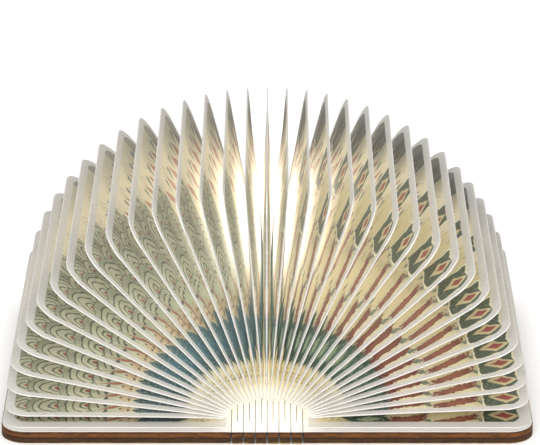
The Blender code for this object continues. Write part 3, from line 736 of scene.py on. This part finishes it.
def make_leaf(number):
    """One printed leaf, with its print coordinates, in place of its flat solid."""
    points, faces, runs = leaf_mesh(number)
    leaf = mesh_piece(f"paper_leaf_{number:02d}", points, faces, print_paper)
    mesh = leaf.data
    flat = points.reshape(-1, 3)
    pairs = np.stack([runs.ravel() / LEAF_LENGTH, flat[:, 1] / LEAF_WIDTH + 0.5], -1)
    corners = np.zeros(len(mesh.loops), int)
    mesh.loops.foreach_get("vertex_index", corners)
    mesh.uv_layers.new(name="leaf").data.foreach_set("uv", pairs[corners].ravel())
    page = mesh.attributes.new("page", "FLOAT", "POINT")
    page.data.foreach_set("value", np.full(len(mesh.vertices), (number - 1) / (LEAF_COUNT - 1)))
    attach(leaf, f"leaf_{number:02d}")
    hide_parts(f"leaf_{number:02d}")
    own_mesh(leaf)


for number in range(1, LEAF_COUNT + 1):
    make_leaf(number)


def block(name, lows, highs, material):
    """One or more closed boxes in one piece, each from its lowest to its highest corner."""
    round_base = [[0, 0], [1, 0], [1, 1], [0, 1]]
    pick = np.array([[x, y, z] for z in (0, 1) for x, y in round_base])
    lows, highs = np.array(lows, float), np.array(highs, float)
    points = lows[:, None] + (highs - lows)[:, None] * pick
    sides = np.array([[0, 3, 2, 1], [4, 5, 6, 7], [0, 1, 5, 4], [1, 2, 6, 5], [2, 3, 7, 6], [3, 0, 4, 7]])
    faces = (np.arange(len(lows))[:, None, None] * 8 + sides).reshape(-1, 4).tolist()
    return mesh_piece(name, points, faces, material, smooth=False)


def strip_body(number):
    """The body that strip number rides on; strips left of the middle count below zero."""
    if number == 0:
        return "spine"
    return f"{'right' if number > 0 else 'left'}_strip_{abs(number)}"


def flat_strip(name, sides, ends, carrier):
    """A strip of lining, carried by a strip of the spine or by a cover."""
    low = (sides[0], ends[0], LINING_BASE)
    high = (sides[1], ends[1], LINING_TOP)
    strip = block(name, [low], [high], lining)
    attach(strip, carrier)
    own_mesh(strip)


def spine_lining():
    """White lining on every strip of the spine and on the covers' root edges, parted by fine slits.

    In the closed book the light bar's lower edge comes close to the third strip of each side, so the
    lining there is in two parts.
    """
    end = HALF_SPINE - LINING_INSET
    bar_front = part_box("light_bar_tray")[0][1] - BAR_CLEARANCE
    for number in range(-CUTS_A_SIDE, CUTS_A_SIDE):
        sides = (number * STRIP_PITCH + LINING_SLIT / 2, (number + 1) * STRIP_PITCH - LINING_SLIT / 2)
        carrier = strip_body(number if number >= 0 else number + 1)
        name = f"spine_lining_{number + CUTS_A_SIDE + 1:02d}"
        if carrier.endswith("3"):
            flat_strip(name, sides, (-end, bar_front), carrier)
            flat_strip(f"{name}_beside_bar", sides, (bar_front, end), carrier)
        else:
            flat_strip(name, sides, (-end, end), carrier)
    for side_name, side in SIDES:
        slit = side * (CUTS_A_SIDE * STRIP_PITCH + LINING_SLIT / 2)
        low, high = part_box(f"liner_{side_name}")
        liner_edge = low[0] if side > 0 else high[0]
        sides = tuple(sorted((slit, liner_edge)))
        flat_strip(f"root_lining_{side_name}", sides, (-end, end), f"{side_name}_cover")


def spine_bridges():
    """The thin bridges of wood and lining that stop every cut short, in the middle or at its ends."""
    paper_end = HALF_SPINE - LINING_INSET
    layers = (
        ("wood", 0.0, WOOD_TOP, KERF / 2, HALF_SPINE, wood, "walnut_ply"),
        ("lining", LINING_BASE, LINING_TOP, LINING_SLIT / 2, paper_end, lining, "lining_paper"),
    )
    for side_name, side in SIDES:
        for cut in range(1, CUTS_A_SIDE + 1):
            for kind, base, top, half, end, finish, slot in layers:
                left, right = sorted((side * (cut * STRIP_PITCH - half), side * (cut * STRIP_PITCH + half)))
                if cut % 2:
                    spans = ((-end, END_BRIDGE - HALF_SPINE), (HALF_SPINE - END_BRIDGE, end))
                else:
                    spans = ((-MIDDLE_BRIDGE / 2, MIDDLE_BRIDGE / 2),)
                lows = [(left, front, base) for front, back in spans]
                highs = [(right, back, top) for front, back in spans]
                bridge = block(f"bridge_{kind}_{side_name}_{cut}", lows, highs, finish)
                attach(bridge, strip_body(side * (cut - 1)))
                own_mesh(bridge)


spine_lining()
spine_bridges()

# The finishes of the solids, by the start of their names; the rest of them are leaves
finishes = (
    ("cover", wood), ("hinge_strip", wood), ("spine_centre", wood), ("liner", lining),
    ("end_sheet", end_paper), ("light_bar_tray", tray_plastic), ("led_board", solder_mask),
    ("charge_board", solder_mask), ("diffuser", opal), ("battery_cell", foil),
    ("charging_socket", tinned), ("magnet_switch", tube_glass), ("magnet", nickel),
)
for name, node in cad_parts.items():
    node.data.materials.clear()
    finish = next((finish for start, finish in finishes if name.startswith(start)), print_paper)
    node.data.materials.append(finish)


# Matt white floor paint: plain and even, whitened for the camera by painted light away from the lamp
def white_floor():
    """A floor that painted light makes white to the camera away from the lamp, and that stays shaded close
    to it.
    """
    made, tree, shader = finish_of("matt white floor paint")
    shader.inputs["Base Color"].default_value = linear("#f4f3f0")
    shader.inputs["Roughness"].default_value = 0.9
    shader.inputs["Emission Color"].default_value = (1.0, 1.0, 1.0, 1.0)
    seen = add(tree, "LightPath", pick="Is Camera Ray")
    parts = add(tree, "SeparateXYZ", add(tree, "TexCoord", pick="Object")).node.outputs
    beside = add(tree, "Math SUBTRACT", add(tree, "Math ABSOLUTE", parts[0]), HALF_OPEN)
    before = add(tree, "Math SUBTRACT", add(tree, "Math ABSOLUTE", parts[1]), HALF_SPINE)
    away = add(tree, "Math MAXIMUM", beside, before)
    away = add(tree, "Math ABSOLUTE", away)
    # Painted light for camera rays, weaker near the lamp's outline so that the floor stays shaded there
    painted_lift = add(tree, "MapRange", away, 0.0, FLOOR_FADE, FLOOR_PAINTED_LIGHT_NEAR, FLOOR_PAINTED_LIGHT_FAR)
    # The floor that shows through the cuts of the spine gets none of the painted light, and stays dark
    off_spine = add(tree, "Math SUBTRACT", add(tree, "Math ABSOLUTE", parts[0]), SPINE_ZONE)
    off_spine = add(tree, "Math MAXIMUM", off_spine, before)
    painted_lift = add(tree, "Math MULTIPLY", painted_lift, add(tree, "Math GREATER_THAN", off_spine, 0.0))
    tree.links.new(add(tree, "Math MULTIPLY", seen, painted_lift), shader.inputs["Emission Strength"])
    mesh = bpy.data.meshes.new("floor")
    signs = ((-1, -1), (1, -1), (1, 1), (-1, 1))
    corners = [(x * FLOOR_HALF, y * FLOOR_HALF, FLOOR_LEVEL) for x, y in signs]
    mesh.from_pydata(corners, [], [(0, 1, 2, 3)])
    mesh.materials.append(made)
    floor = bpy.data.objects.new("floor", mesh)
    bpy.context.scene.collection.objects.link(floor)


def white_world():
    """A world that is plain white to the camera and in reflections, and a softer light on the lamp."""
    world = bpy.data.worlds.new("white room")
    bpy.context.scene.world = world
    world.use_nodes = True
    tree = world.node_tree
    rays = add(tree, "LightPath").node.outputs
    seen = add(tree, "Math MAXIMUM", rays["Is Camera Ray"], rays["Is Glossy Ray"])
    seen = add(tree, "Math MAXIMUM", seen, rays["Is Transmission Ray"])
    strength = add(tree, "MapRange", seen, 0.0, 1.0, WORLD_ON_LAMP, 1.0)
    background = tree.nodes["Background"]
    background.inputs["Color"].default_value = (1.0, 1.0, 1.0, 1.0)
    tree.links.new(strength, background.inputs["Strength"])


def soft_lamp(name, place, size, power):
    """A square soft lamp that looks at the lower middle of the fan."""
    data = bpy.data.lights.new(name, "AREA")
    data.size = size
    data.energy = power
    lamp = bpy.data.objects.new(name, data)
    bpy.context.scene.collection.objects.link(lamp)
    lamp.location = place
    x, y, z = place
    tilt = math.atan2(math.hypot(x, y), z - LAMP_AIM_HEIGHT)
    lamp.rotation_euler = (tilt, 0.0, math.atan2(x, -y))


white_floor()
white_world()
soft_lamp("key lamp", (-0.25, -1.5, 0.75), 0.9, 15.0)
soft_lamp("fill lamp", (0.7, -1.2, 0.5), 0.8, 6.0)

bpy.context.scene.view_settings.view_transform = "Standard"
